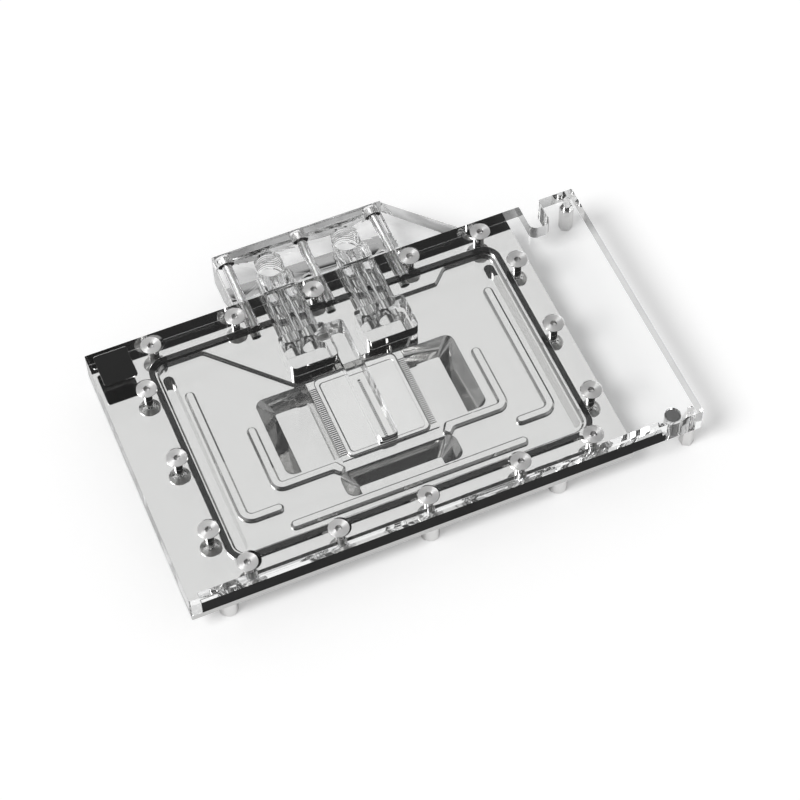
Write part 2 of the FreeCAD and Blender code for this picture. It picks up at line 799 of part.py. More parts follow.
def make_jet_plate():
    """A thin plate that spreads the flow from one slit along the middle of the fins."""
    body = new_body("jet_plate")
    gap = s.fit_gap
    blank = new_sketch(body, "jet_blank", offset=FIN_TOP)
    add_outline(blank, rectangle(jet_left + gap, jet_right - gap, jet_front + gap, jet_back - gap,
                                 s.jet_plate_radius))
    pad(body, blank, "Sizes.jet_plate_thick")
    window = new_sketch(body, "jet_window", offset=PLATE_TOP)
    add_outline(window, rectangle(jet_left + s.jet_rim_side, jet_right - s.jet_rim_side,
                                  window_front, window_back, s.jet_plate_radius))
    pocket(body, window, "Sizes.jet_recess")
    slit = new_sketch(body, "jet_slit", offset=PLATE_TOP)
    add_outline(slit, rectangle(centre_x - s.slit_width / 2, centre_x + s.slit_width / 2,
                                window_front + s.slit_front, window_back - s.slit_back,
                                s.slit_width * 0.45))
    pocket(body, slit, "Sizes.jet_plate_thick")
    finish(body, "jet_plate")


# Terminal: one clear block with two threaded ports and a brace towards the cover

def make_terminal_block():
    body = new_body("terminal_block")
    top = cover_top
    bottom = cover_top - s.terminal_height
    joint_bottom = cover_bottom
    front = terminal_front
    edge = s.terminal_edge
    profile = new_sketch(body, "terminal_profile", "YZ_Plane", TERMINAL_LEFT)
    add_outline(profile, [
        (front, joint_bottom, 0),
        (front + s.terminal_slope_front, joint_bottom, 0.8),
        (front + s.terminal_slope_back, bottom, 0.8),
        (terminal_back, bottom, edge),
        (terminal_back, top, edge),
        (front, top, 0),
    ])
    pad(body, profile, "Sizes.terminal_length")

    brace = new_sketch(body, "brace", offset=COVER_TOP)
    add_outline(brace, [
        (terminal_right - 1.0, front, 0),
        (terminal_right + s.wing_length, front, 0),
        (terminal_right, front + s.wing_depth, 0),
        (terminal_right - 1.0, front + s.wing_depth, 0),
    ])
    pad(body, brace, "Sizes.cover_thick", flip=True)

    mouths = new_sketch(body, "port_mouths", offset=COVER_TOP)
    for x in ports_x:
        add_circle(mouths, x, port_y, s.port_bore / 2)
    countersunk_hole(body, mouths, "Sizes.port_bore", "Sizes.port_mouth", "Sizes.port_reach")

    ducts = new_sketch(body, "terminal_ducts", "XZ_Plane", "-" + TERMINAL_FRONT)
    for port_x in ports_x:
        for side in (-1, 1):
            add_circle(ducts, port_x + side * s.duct_pitch / 2, duct_level, s.duct_bore / 2)
    pocket(body, ducts, "Sizes.port_set_back - Sizes.port_bore / 2 + Sizes.duct_entry")

    for number, port_x in enumerate(ports_x):
        groove = new_sketch(body, f"ring_groove_{number + 1}", "XZ_Plane", "-" + TERMINAL_FRONT)
        add_oval(groove, port_x, -s.fit_gap)
        add_oval(groove, port_x, s.ring_width + s.fit_gap)
        pocket(body, groove, "Sizes.ring_height + Sizes.fit_gap")

    bores = new_sketch(body, "screw_bores", "XZ_Plane", "-" + TERMINAL_FRONT)
    for x in end_screws_x:
        add_circle(bores, x, duct_level, s.end_screw_shank / 2 + s.fit_gap)
    pocket(body, bores, "Sizes.terminal_depth")
    seats = new_sketch(body, "head_bores", "XZ_Plane", "-" + TERMINAL_BACK)
    for x in end_screws_x:
        add_circle(seats, x, duct_level, s.end_screw_head / 2 + s.fit_gap)
    pocket(body, seats, "Sizes.end_screw_head_height + Sizes.end_screw_sink", flip=True)
    finish(body, "terminal_block")


def add_oval(sketch, port_x, grow):
    """An oval round the two ducts of a port, grown outwards from the ring's inner edge."""
    radius = s.duct_bore / 2 + s.ring_margin + grow
    left = FreeCAD.Vector(port_x - s.duct_pitch / 2, duct_level, 0)
    right = FreeCAD.Vector(port_x + s.duct_pitch / 2, duct_level, 0)
    up = FreeCAD.Vector(0, radius, 0)
    out = FreeCAD.Vector(radius, 0, 0)
    sketch.addGeometry(Part.LineSegment(left + up, right + up), False)
    sketch.addGeometry(Part.Arc(right + up, right + out, right - up), False)
    sketch.addGeometry(Part.LineSegment(right - up, left - up), False)
    sketch.addGeometry(Part.Arc(left - up, left - out, left + up), False)


def make_port_seal(name, port_x):
    body = new_body(name)
    ring = new_sketch(body, name + "_ring", "XZ_Plane", "-" + TERMINAL_FRONT)
    add_oval(ring, port_x, 0.0)
    add_oval(ring, port_x, s.ring_width)
    pad(body, ring, "Sizes.ring_height", flip=True)
    finish(body, name)


# Screws

def make_cover_screws():
    """Countersunk socket screws, turned about their own axis and set round the seal."""
    seed = new_body("cover_screw_seed")
    head = s.screw_head / 2
    shank = s.screw_shank / 2
    top = cover_top - s.screw_sink
    neck = top - (head - shank)
    tip = s.post_length + s.screw_tip_gap
    chamfer = s.screw_tip_chamfer
    profile = new_sketch(seed, "cover_screw_profile", "XZ_Plane")
    add_outline(profile, [
        (0, tip, 0),
        (shank - chamfer, tip, 0),
        (shank, tip + chamfer, 0),
        (shank, neck, 0),
        (head, top, 0),
        (0, top, 0),
    ])
    revolve(seed, profile)
    socket = new_sketch(seed, "cover_screw_socket", offset=COVER_TOP + " - Sizes.screw_sink")
    add_hexagon(socket, 0, 0, s.screw_hex)
    pocket(seed, socket, "Sizes.screw_hex_reach")
    screws = copies("cover_screws", seed, [(x, y, 0) for x, y in cover_screw_places()])
    finish(screws, "cover_screws")


def make_terminal_screws():
    """Cap screws that pull the terminal against the cover's back edge."""
    seed = new_body("terminal_screw_seed")
    head = s.end_screw_head / 2
    shank = s.end_screw_shank / 2
    seat = terminal_back - s.end_screw_head_height - s.end_screw_sink
    top = terminal_back - s.end_screw_sink
    tip = s.cover_depth - s.end_screw_reach
    bevel = 0.4
    profile = new_sketch(seed, "terminal_screw_profile")
    add_outline(profile, [
        (0, tip, 0),
        (shank - bevel, tip, 0),
        (shank, tip + bevel, 0),
        (shank, seat, 0),
        (head, seat, 0),
        (head, top - bevel, 0),
        (head - bevel, top, 0),
        (0, top, 0),
    ])
    revolve(seed, profile)
    socket = new_sketch(seed, "terminal_screw_socket", "XZ_Plane",
                        "Sizes.end_screw_sink - " + TERMINAL_BACK)
    add_hexagon(socket, 0, 0, s.end_screw_hex)
    pocket(seed, socket, "Sizes.end_screw_hex_reach", flip=True)
    screws = copies("terminal_screws", seed, [(x, 0, duct_level) for x in end_screws_x])
    finish(screws, "terminal_screws")


# Posts

def make_round_post(name, x, y):
    """A turned post with a stud that screws into the plate and a threaded bore below."""
    body = new_body(name)
    radius = s.post_diameter / 2
    chamfer = s.post_chamfer
    stud = s.post_stud / 2
    top = s.post_length
    profile = new_sketch(body, name + "_profile", "XZ_Plane")
    add_outline(profile, [
        (s.post_bore / 2, 0, 0),
        (radius - chamfer, 0, 0),
        (radius, chamfer, 0),
        (radius, top, 0),
        (stud, top, 0),
        (stud, top + s.post_stud_reach, 0),
        (0, top + s.post_stud_reach, 0),
        (0, s.post_bore_reach, 0),
        (s.post_bore / 2, s.post_bore_reach, 0),
    ])
    revolve(body, profile)
    finish(body, name, x, y)


def make_hex_post(name, y):
    """A hexagonal post under the cover's overhang, with a long stud in the cover."""
    body = new_body(name)
    shaft = new_sketch(body, name + "_shaft")
    add_hexagon(shaft, 0, 0, s.hex_post_flats)
    pad(body, shaft, PLATE_TOP)
    stud = new_sketch(body, name + "_stud", offset=PLATE_TOP)
    add_circle(stud, 0, 0, s.hex_post_stud / 2)
    pad(body, stud, "Sizes.hex_post_stud_reach")
    bore = new_sketch(body, name + "_bore")
    add_circle(bore, 0, 0, s.post_bore / 2)
    pocket(body, bore, "Sizes.post_bore_reach", flip=True)
    finish(body, name, "Sizes.cover_length - Sizes.hex_post_inset", y)


# Light strip, its lead plug and the badge

def make_light_strip():
    board = new_body("led_board")
    outline = new_sketch(board, "board_outline", "XZ_Plane", "-Sizes.strip_inset")
    top = plate_top + s.strip_height
    end_top = plate_top + s.strip_end_height
    middle = strip_right - s.strip_end_length
    add_outline(outline, [
        (s.strip_left, plate_top, 0),
        (strip_right, plate_top, 0),
        (strip_right, end_top, 0),
        (middle, end_top, 0),
        (middle, top, 0),
        (s.strip_left, top, 0),
    ])
    pad(board, outline, "Sizes.strip_thick", flip=True)
    finish(board, "led_board")

    inner_face = s.strip_inset + s.strip_thick
    level = plate_top + s.strip_height / 2
    first = s.strip_left + s.lamp_margin
    last = strip_right - s.strip_end_length - s.lamp_margin
    pitch = (last - first) / (s.lamp_count - 1)
    lamp = new_body("lamp_seed")
    case = new_sketch(lamp, "lamp_case", "XZ_Plane")
    add_outline(case, rectangle(-s.lamp_width / 2, s.lamp_width / 2, -s.lamp_height / 2, s.lamp_height / 2))
    pad(lamp, case, "Sizes.lamp_thick", flip=True)
    lens = new_sketch(lamp, "lamp_lens", "XZ_Plane", "-Sizes.lamp_thick")
    add_circle(lens, 0, 0, s.lamp_height * 0.4)
    pocket(lamp, lens, "Sizes.lamp_thick / 5", flip=True)
    lamps = copies("led_chips", lamp, [(first + number * pitch, inner_face, level)
                                       for number in range(int(s.lamp_count))])
    finish(lamps, "led_chips")

    chip = new_body("resistor_seed")
    case = new_sketch(chip, "resistor_case", "XZ_Plane")
    add_outline(case, rectangle(-s.resistor_width / 2, s.resistor_width / 2, -s.resistor_height / 2,
                                s.resistor_height / 2))
    pad(chip, case, "Sizes.resistor_thick", flip=True)
    places = []
    for number in range(int(s.lamp_count)):
        x = first + number * pitch + s.resistor_offset
        places.append((x, inner_face, level - 1.2))
        places.append((x, inner_face, level + 1.2))
    resistors = copies("led_resistors", chip, places)
    finish(resistors, "led_resistors")

    plug = new_body("led_lead")
    profile = new_sketch(plug, "plug_profile", "XZ_Plane")
    radius = s.plug_diameter / 2
    top = plate_top + s.plug_height
    add_outline(profile, [
        (0, plate_top, 0),
        (radius, plate_top, 0),
        (radius, top - 0.8, 0),
        (radius - 0.8, top, 0),
        (0, top, 0),
    ])
    revolve(plug, profile)
    finish(plug, "led_lead",
           "Sizes.cover_length - Sizes.strip_margin_right + Sizes.plug_wall + Sizes.plug_diameter / 2",
           "Sizes.plug_inset")


def make_badge():
    body = new_body("badge")
    face = new_sketch(body, "badge_face", offset=COVER_TOP)
    add_badge(face, 0.0)
    pad(body, face, "Sizes.badge_thick", flip=True)
    finish(body, "badge")


make_cold_plate()
make_clear_cover()
make_cover_seal()
make_jet_plate()
make_terminal_block()
make_port_seal("inlet_seal", ports_x[0])
make_port_seal("outlet_seal", ports_x[1])
make_terminal_screws()
make_cover_screws()
make_light_strip()
make_badge()
for ending, post_x, post_y in post_places():
    make_round_post("base_post_" + ending, post_x, post_y)
make_hex_post("overhang_post_front", "Sizes.hex_post_inset")
make_hex_post("overhang_post_back", "(Sizes.cover_depth - Sizes.hex_post_inset)")

doc.recompute()
for item in doc.Objects:
    if "Invalid" in item.State or "Error" in item.State:
        raise RuntimeError(f"{item.Name} did not compute: {item.State}")
for item in finished:
    if item.Shape.isNull() or not item.Shape.isValid():
        raise RuntimeError(f"{item.Label} has no valid shape")

os.makedirs("parts", exist_ok=True)
for item in finished:
    item.Shape.exportStep(f"parts/{item.Label}.step")
    print(f"{item.Label}: {len(item.Shape.Solids)} solids, {item.Shape.Volume:.1f} mm3")
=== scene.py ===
import json
import math

import bmesh
import bpy
import numpy as np
from mathutils import Matrix, Vector


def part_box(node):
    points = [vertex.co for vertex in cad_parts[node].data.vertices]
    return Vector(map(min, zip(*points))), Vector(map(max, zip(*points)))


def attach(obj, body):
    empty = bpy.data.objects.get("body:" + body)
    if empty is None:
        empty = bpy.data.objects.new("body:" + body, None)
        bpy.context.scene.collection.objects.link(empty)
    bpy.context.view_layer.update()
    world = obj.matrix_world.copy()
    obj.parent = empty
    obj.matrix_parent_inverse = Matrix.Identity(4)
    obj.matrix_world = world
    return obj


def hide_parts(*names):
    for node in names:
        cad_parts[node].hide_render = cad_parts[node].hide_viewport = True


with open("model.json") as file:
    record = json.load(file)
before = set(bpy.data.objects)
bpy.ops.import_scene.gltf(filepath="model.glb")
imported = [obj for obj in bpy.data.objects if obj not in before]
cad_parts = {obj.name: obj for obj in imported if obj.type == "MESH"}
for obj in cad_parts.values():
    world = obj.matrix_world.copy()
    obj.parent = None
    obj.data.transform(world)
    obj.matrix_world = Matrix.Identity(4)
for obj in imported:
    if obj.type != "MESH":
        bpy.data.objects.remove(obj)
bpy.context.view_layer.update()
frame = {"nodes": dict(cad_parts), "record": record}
scene = bpy.context.scene
nodes = frame["nodes"]
print("frame loaded:", len(nodes), "nodes")

# Helpers for node trees

def newMaterial(name):
    material = bpy.data.materials.new(name)
    material.use_nodes = True
    tree = material.node_tree
    tree.nodes.clear()
    return material, tree, tree.nodes.new("ShaderNodeOutputMaterial")


def connect(tree, node, name, value):
    # an input is named by its label or by its number, and takes a link or a value
    socket = node.inputs[int(name)] if name.isdigit() else node.inputs[name]
    if isinstance(value, bpy.types.NodeSocket):
        tree.links.new(value, socket)
    else:
        socket.default_value = value


def addNode(tree, kind, settings=None, **inputs):
    # one node with its properties and the values or links of its inputs
    node = tree.nodes.new(kind)
    for name, value in (settings or {}).items():
        setattr(node, name, value)
    for name, value in inputs.items():
        connect(tree, node, name.replace("_", " "), value)
    return node


def mathNode(tree, operation, first, second=0.0):
    node = addNode(tree, "ShaderNodeMath", {"operation": operation})
    connect(tree, node, "0", first)
    connect(tree, node, "1", second)
    return node.outputs[0]


def mixNode(tree, share, first, second):
    # a single number: the first at share 0, the second at share 1
    node = addNode(tree, "ShaderNodeMix")
    connect(tree, node, "0", share)
    connect(tree, node, "2", first)
    connect(tree, node, "3", second)
    return node.outputs[0]


def rangeNode(tree, value, source, target=(0.0, 1.0), interpolation="LINEAR"):
    # carries the source span over to the target span and holds its ends
    node = addNode(tree, "ShaderNodeMapRange", {"interpolation_type": interpolation}, Value=value)
    for name, bound in zip(("From Min", "From Max", "To Min", "To Max"), (*source, *target)):
        connect(tree, node, name, bound)
    return node.outputs[0]


def cosineNode(tree, direction, towards):
    # cosine of the angle between the direction looked in and the one given
    node = addNode(tree, "ShaderNodeVectorMath", {"operation": "DOT_PRODUCT"})
    connect(tree, node, "0", direction)
    connect(tree, node, "1", towards)
    return node.outputs["Value"]


def newGroup(name, inputs, outputs):
    # an effect shared by several materials: a node group whose sockets hold single numbers
    group = bpy.data.node_groups.new(name, "ShaderNodeTree")
    for side, socketNames in (("INPUT", inputs), ("OUTPUT", outputs)):
        for socketName in socketNames:
            group.interface.new_socket(name=socketName, in_out=side, socket_type="NodeSocketFloat")
    return group, group.nodes.new("NodeGroupInput"), group.nodes.new("NodeGroupOutput")


def useGroup(tree, group, **inputs):
    return addNode(tree, "ShaderNodeGroup", {"node_tree": group}, **inputs)


# Shared effects

turnedDetail = 2.0           # octaves of noise in the lathe's rings

handlingLook = {
    "hairlines": (60.0, 3600.0, 3600.0),   # noise drawn out sixty times as long along X as it is wide
    "hairDetail": 3.0,
    "smearDetail": 4.0,
    "smearRoughness": 0.6,
    "smearEdge": (0.45, 0.75),             # levels of noise between clean and fully smeared
}


def makeHandlingGroup():
    # faint smears that make a face uneven in gloss, and fine hairlines for its bump
    look = handlingLook
    group, given, result = newGroup("handling", ["Roughness", "Amount", "Scale"], ["Roughness", "Height"])
    place = addNode(group, "ShaderNodeTexCoord").outputs["Object"]
    drawn = addNode(group, "ShaderNodeMapping", Vector=place, Scale=look["hairlines"])
    lines = addNode(group, "ShaderNodeTexNoise", Vector=drawn.outputs[0], Scale=1.0,
                    Detail=look["hairDetail"])
    smear = addNode(group, "ShaderNodeTexNoise", Vector=place, Scale=given.outputs["Scale"],
                    Detail=look["smearDetail"], Roughness=look["smearRoughness"])
    soft = rangeNode(group, smear.outputs["Fac"], look["smearEdge"])
    amount = mathNode(group, "MULTIPLY", soft, given.outputs["Amount"])
    total = mathNode(group, "ADD", amount, given.outputs["Roughness"])
    connect(group, result, "Roughness", total)
    connect(group, result, "Height", lines.outputs["Fac"])
    return group


def makeTurnedGroup():
    # rings left by the lathe: noise read along the distance from the axis, in mm, that U holds
    group, given, result = newGroup("turned", ["Spacing"], ["Height"])
    place = addNode(group, "ShaderNodeUVMap", {"uv_map": "turning"})
    reach = addNode(group, "ShaderNodeSeparateXYZ", Vector=place.outputs[0])
    along = mathNode(group, "DIVIDE", reach.outputs["X"], given.outputs["Spacing"])
    rings = addNode(group, "ShaderNodeTexNoise", {"noise_dimensions": "1D"}, W=along, Scale=1.0,
                    Detail=turnedDetail)
    connect(group, result, "Height", rings.outputs["Fac"])
    return group


handling = makeHandlingGroup()
turned = makeTurnedGroup()

# Materials

acrylicLook = {
    "color": (0.993, 0.996, 0.996, 1.0), "ior": 1.49, "smear": 0.012, "smearScale": 25.0,
    "shadowLevel": 1.0,      # share of the lamp's light that level faces let through
    "shadowUpright": 0.15,   # and upright ones, so that the edges cast a shadow
}


def clearAcrylicMaterial():
    # glass to the eye, and plainly see-through to shadow rays
    look = acrylicLook
    material, tree, output = newMaterial("clearAcrylic")
    uneven = useGroup(tree, handling, Roughness=0.0, Amount=look["smear"], Scale=look["smearScale"])
    glass = addNode(tree, "ShaderNodeBsdfPrincipled", Base_Color=look["color"], IOR=look["ior"],
                    Roughness=uneven.outputs["Roughness"], Transmission_Weight=1.0)
    shape = addNode(tree, "ShaderNodeNewGeometry")
    facing = addNode(tree, "ShaderNodeSeparateXYZ", Vector=shape.outputs["Normal"])
    level = mathNode(tree, "ABSOLUTE", facing.outputs["Z"])
    shade = rangeNode(tree, level, (0.0, 1.0), (look["shadowUpright"], look["shadowLevel"]))
    clear = addNode(tree, "ShaderNodeBsdfTransparent", Color=shade)
    path = addNode(tree, "ShaderNodeLightPath")
    mix = addNode(tree, "ShaderNodeMixShader")
    connect(tree, mix, "0", path.outputs["Is Shadow Ray"])
    connect(tree, mix, "1", glass.outputs[0])
    connect(tree, mix, "2", clear.outputs[0])
    connect(tree, output, "Surface", mix.outputs[0])
    return material


metalLook = {"smearScale": 40.0}


def metalMaterial(name, color, roughness, smear, hairDepth):
    # hairlines of this depth in metres, under smears that dull the polish
    material, tree, output = newMaterial(name)
    uneven = useGroup(tree, handling, Roughness=roughness, Amount=smear, Scale=metalLook["smearScale"])
    bump = addNode(tree, "ShaderNodeBump", Height=uneven.outputs["Height"], Distance=hairDepth)
    metal = addNode(tree, "ShaderNodeBsdfPrincipled", Base_Color=color, Metallic=1.0,
                    Roughness=uneven.outputs["Roughness"], Normal=bump.outputs[0])
    connect(tree, output, "Surface", metal.outputs[0])
    return material


turnedLook = {
    "color": (0.92, 0.915, 0.91, 1.0), "roughness": 0.34, "smear": 0.04, "smearScale": 90.0,
    "anisotropy": 0.95,
    "ringSpacing": 0.2,      # mm between the lathe's rings
    "ringDepth": 6e-6,       # their depth in metres
}


def turnedMaterial(name):
    # lathe rings and highlights drawn out across them, both from the "turning" map
    look = turnedLook
    material, tree, output = newMaterial(name)
    uneven = useGroup(tree, handling, Roughness=look["roughness"], Amount=look["smear"],
                      Scale=look["smearScale"])
    across = addNode(tree, "ShaderNodeTangent", {"direction_type": "UV_MAP", "uv_map": "turning"})
    rings = useGroup(tree, turned, Spacing=look["ringSpacing"])
    bump = addNode(tree, "ShaderNodeBump", Height=rings.outputs["Height"], Distance=look["ringDepth"])
    metal = addNode(tree, "ShaderNodeBsdfPrincipled", Base_Color=look["color"], Metallic=1.0,
                    Roughness=uneven.outputs["Roughness"], Anisotropic=look["anisotropy"],
                    Tangent=across.outputs[0], Normal=bump.outputs[0])
    connect(tree, output, "Surface", metal.outputs[0])
    return material


plainLook = {"smear": 0.1, "smearScale": 60.0, "grainScale": 900.0, "grainDepth": 0.0001, "gloss": 0.25}


def plainMaterial(name, color, roughness, grain=0.0, gloss=plainLook["gloss"]):
    # rubber and plastic: smears, and a fine grain of this strength
    look = plainLook
    material, tree, output = newMaterial(name)
    uneven = useGroup(tree, handling, Roughness=roughness, Amount=look["smear"], Scale=look["smearScale"])
    base = addNode(tree, "ShaderNodeBsdfPrincipled", Base_Color=color, Specular_IOR_Level=gloss,
                   Roughness=uneven.outputs["Roughness"])
    if grain > 0:
        place = addNode(tree, "ShaderNodeTexCoord")
        noise = addNode(tree, "ShaderNodeTexNoise", Vector=place.outputs["Object"], Scale=look["grainScale"])
        bump = addNode(tree, "ShaderNodeBump", Height=noise.outputs["Fac"], Strength=grain,
                       Distance=look["grainDepth"])
        connect(tree, base, "Normal", bump.outputs[0])
    connect(tree, output, "Surface", base.outputs[0])
    return material


clearAcrylic = clearAcrylicMaterial()
nickelPlate = metalMaterial("nickelPlate", (0.70, 0.698, 0.692, 1.0), roughness=0.035, smear=0.03,
                            hairDepth=3e-7)
jetNickel = metalMaterial("jetNickel", (0.74, 0.738, 0.732, 1.0), roughness=0.035, smear=0.03,
                          hairDepth=3e-7)
postMetal = metalMaterial("postMetal", (0.93, 0.925, 0.92, 1.0), roughness=0.3, smear=0.1, hairDepth=2e-6)
screwMetal = turnedMaterial("screwMetal")
sealRubber = plainMaterial("sealRubber", (0.008, 0.008, 0.008, 1.0), roughness=0.5, grain=0.3, gloss=0.08)
boardBlack = plainMaterial("boardBlack", (0.006, 0.006, 0.0065, 1.0), roughness=0.4, grain=0.2, gloss=0.1)
lampWhite = plainMaterial("lampWhite", (0.75, 0.74, 0.68, 1.0), roughness=0.4)
plugGrey = plainMaterial("plugGrey", (0.11, 0.11, 0.11, 1.0), roughness=0.5, grain=0.2)
badgeBlack = plainMaterial("badgeBlack", (0.012, 0.012, 0.012, 1.0), roughness=0.3, grain=0.2)
print("materials made")

# Pieces that keep their CAD shape, merged and shaded smooth

copyLook = {"weld": 2e-6, "crisp": 25.0}   # metres between points that are one, degrees at a crisp edge


def addPiece(name, mesh, material, replaced, crisp):
    mesh.materials.append(material)
    mesh.shade_smooth()
    mesh.set_sharp_from_angle(angle=math.radians(crisp))
    piece = bpy.data.objects.new(name, mesh)
    scene.collection.objects.link(piece)
    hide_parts(replaced)
    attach(piece, "root")
    return piece


def smoothCopy(nodeName, material):
    # without the normals stored in the frame, so that an edge is crisp by its angle alone
    mesh = nodes[nodeName].data.copy()
    mesh.name = nodeName + "Shape"
    if "custom_normal" in mesh.attributes:
        mesh.attributes.remove(mesh.attributes["custom_normal"])
    work = bmesh.new()
    work.from_mesh(mesh)
    bmesh.ops.remove_doubles(work, verts=work.verts, dist=copyLook["weld"])
    work.to_mesh(mesh)
    work.free()
    mesh.materials.clear()
    mesh.polygons.foreach_set("material_index", np.zeros(len(mesh.polygons), np.int32))
    return addPiece(nodeName + "Piece", mesh, material, nodeName, copyLook["crisp"])


keptPieces = {
    "cold_plate": (nickelPlate, "nickel"),
    "clear_cover": (clearAcrylic, "clear_acrylic"),
    "terminal_block": (clearAcrylic, "clear_acrylic"),
    "cover_seal": (sealRubber, "seal_rubber"),
    "inlet_seal": (sealRubber, "seal_rubber"),
    "outlet_seal": (sealRubber, "seal_rubber"),
    "led_board": (boardBlack, "board_black"),
    "led_chips": (lampWhite, "lamp_white"),
    "led_resistors": (boardBlack, "board_black"),
    "led_lead": (plugGrey, "plug_black"),
    "badge": (badgeBlack, "badge_black"),
}
for name in nodes:
    if name.startswith(("base_post", "overhang_post")):
        keptPieces[name] = (postMetal, "post_nickel")
pieces = {name: smoothCopy(name, material) for name, (material, slot) in keptPieces.items()}
print("pieces made")

# Crisp edges eased, as a cutter or a tumbler leaves them

edgeLook = {
    "widths": {"cold_plate": 0.0001, "clear_cover": 0.0003, "terminal_block": 0.0004},
    "segments": 2,
    "flat": 0.3,             # degrees below which neighbouring faces are one
    "sharp": 40.0,           # degrees from which an edge is eased
}


def applyModifiers(piece):
    drawn = piece.evaluated_get(bpy.context.evaluated_depsgraph_get())
    mesh = bpy.data.meshes.new_from_object(drawn)
    piece.modifiers.clear()
    piece.data = mesh


def roundEdges(piece, width):
    # flat faces are joined first, so that the bevel meets only real edges
    work = bmesh.new()
    work.from_mesh(piece.data)
    bmesh.ops.dissolve_limit(work, angle_limit=math.radians(edgeLook["flat"]), verts=work.verts,
                             edges=work.edges)
    work.to_mesh(piece.data)
    work.free()
    bevel = piece.modifiers.new("edges", "BEVEL")
    bevel.width = width
    bevel.segments = edgeLook["segments"]
    bevel.limit_method = "ANGLE"
    bevel.angle_limit = math.radians(edgeLook["sharp"])
    bevel.harden_normals = True
    applyModifiers(piece)


for name, width in edgeLook["widths"].items():
    roundEdges(pieces[name], width)

# Jet plate with its half-round rim

madeCrisp = 28.0             # degrees at a crisp edge of the pieces made here

jetPlateLook = {
    "corner": 3.0, "edge": 0.35, "rimSide": 2.2, "rimFront": 2.2, "rimBack": 3.3, "recess": 0.3,
    "crest": 0.45,           # share of the rim's width that lies outside its crest
    "cornerOutside": 1.0,    # radius that a corner loses to the rim's width outside the crest
    "cornerInside": 0.6,     # and inside it
    "slitWidth": 1.4, "slitFront": 0.5, "slitBack": 3.0,
    "slitCorner": 0.45,      # corner radius as a share of the slit's width
    "around": 24, "across": 9,
}


def boxInMillimetres(nodeName):
    return [1000 * np.array(corner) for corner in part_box(nodeName)]


def roundedRing(box, radius, level, around):
    # a rectangle with rounded corners: each corner's quarter circle, joined by straight runs
    left, right, front, back = box
    turns = np.linspace(0, math.pi / 2, around)
    corners = [(right - radius, back - radius, 0.0), (left + radius, back - radius, math.pi / 2),
               (left + radius, front + radius, math.pi), (right - radius, front + radius, 3 * math.pi / 2)]
    runs = [np.stack([x + radius * np.cos(turns + turn), y + radius * np.sin(turns + turn),
                      np.full(around, level)], -1) for x, y, turn in corners]
    return np.vstack(runs)


def makeJetPlate():
    # one closed profile carried round the plate: outer edge, half-round rim, window, slit, underside
    look = jetPlateLook
    low, high = boxInMillimetres("jet_plate")
    thick = high[2] - low[2]
    outer = np.array([low[0], high[0], low[1], high[1]])
    rim = np.array([look["rimSide"], -look["rimSide"], look["rimFront"], -look["rimBack"]])
    window = outer + rim
    middle = (low[0] + high[0]) / 2
    slit = np.array([middle - look["slitWidth"] / 2, middle + look["slitWidth"] / 2,
                     window[2] + look["slitFront"], window[3] - look["slitBack"]])
    slitCorner = look["slitWidth"] * look["slitCorner"]
    floor = high[2] - look["recess"]
    rings = [(outer, look["corner"], low[2]), (outer, look["corner"], low[2] + look["edge"])]
    steps = np.linspace(0, 1, look["across"])[1:]
    for share in steps:                          # outer half of the rim: a quarter ellipse up to the crest
        reach = look["crest"] * (1 - math.cos(share * math.pi / 2))
        rise = (thick - look["edge"]) * math.sin(share * math.pi / 2)
        corner = look["corner"] - reach * look["rimSide"] * look["cornerOutside"]
        rings.append((outer + reach * rim, corner, low[2] + look["edge"] + rise))
    for share in steps:                          # inner half: a quarter ellipse down to the window
        reach = look["crest"] + (1 - look["crest"]) * math.sin(share * math.pi / 2)
        drop = look["recess"] * (1 - math.cos(share * math.pi / 2))
        corner = look["corner"] - reach * look["rimSide"] * look["cornerInside"]
        rings.append((outer + reach * rim, corner, high[2] - drop))
    rings += [(slit, slitCorner, floor), (slit, slitCorner, low[2])]
    rows = np.array([roundedRing(box, radius, level, look["around"]) for box, radius, level in rings])
    count, around = rows.shape[:2]
    here = np.arange(around)
    after = (here + 1) % around
    ring = np.arange(count)[:, None] * around
    further = ((np.arange(count) + 1) % count)[:, None] * around
    quads = np.stack([ring + here, ring + after, further + after, further + here], -1).reshape(-1, 4)
    mesh = bpy.data.meshes.new("jetPlate")
    mesh.from_pydata((rows.reshape(-1, 3) / 1000).tolist(), [], quads.tolist())
    addPiece("jetPlate", mesh, jetNickel, "jet_plate", madeCrisp)


makeJetPlate()

# Turned pieces: rings of points round an axis, stacked from the head down to the tip

def fullTurn(around):
    return np.linspace(0, 2 * math.pi, around, endpoint=False)


def hexReach(turns, apothem):
    # from the middle of a hexagon to its outline: apothem / cos(angle from the nearest side's middle)
    return apothem / np.cos((turns + math.pi / 6) % (math.pi / 3) - math.pi / 6)


def threadReach(turns, level, radius, depth, pitch, start, end):
    # radius less depth at the roots: a cosine of (level / pitch - turn), faded out at both ends
    wave = 0.5 + 0.5 * np.cos(2 * math.pi * level / pitch - turns)
    fade = np.clip((start - level) / pitch, 0, 1) * np.clip((level - end) / pitch, 0, 1)
    return radius - depth * wave * fade


def stackRings(turns, rings):
    # one ring for each (reach, level): the point at angle a is (reach cos a, reach sin a, level)
    rows = [np.stack([reach * np.cos(turns), reach * np.sin(turns), np.full(len(turns), level)], -1)
            for reach, level in rings]
    return np.array(rows)


onAxis = 1e-6                # mm from the axis within which a point has no angle of its own


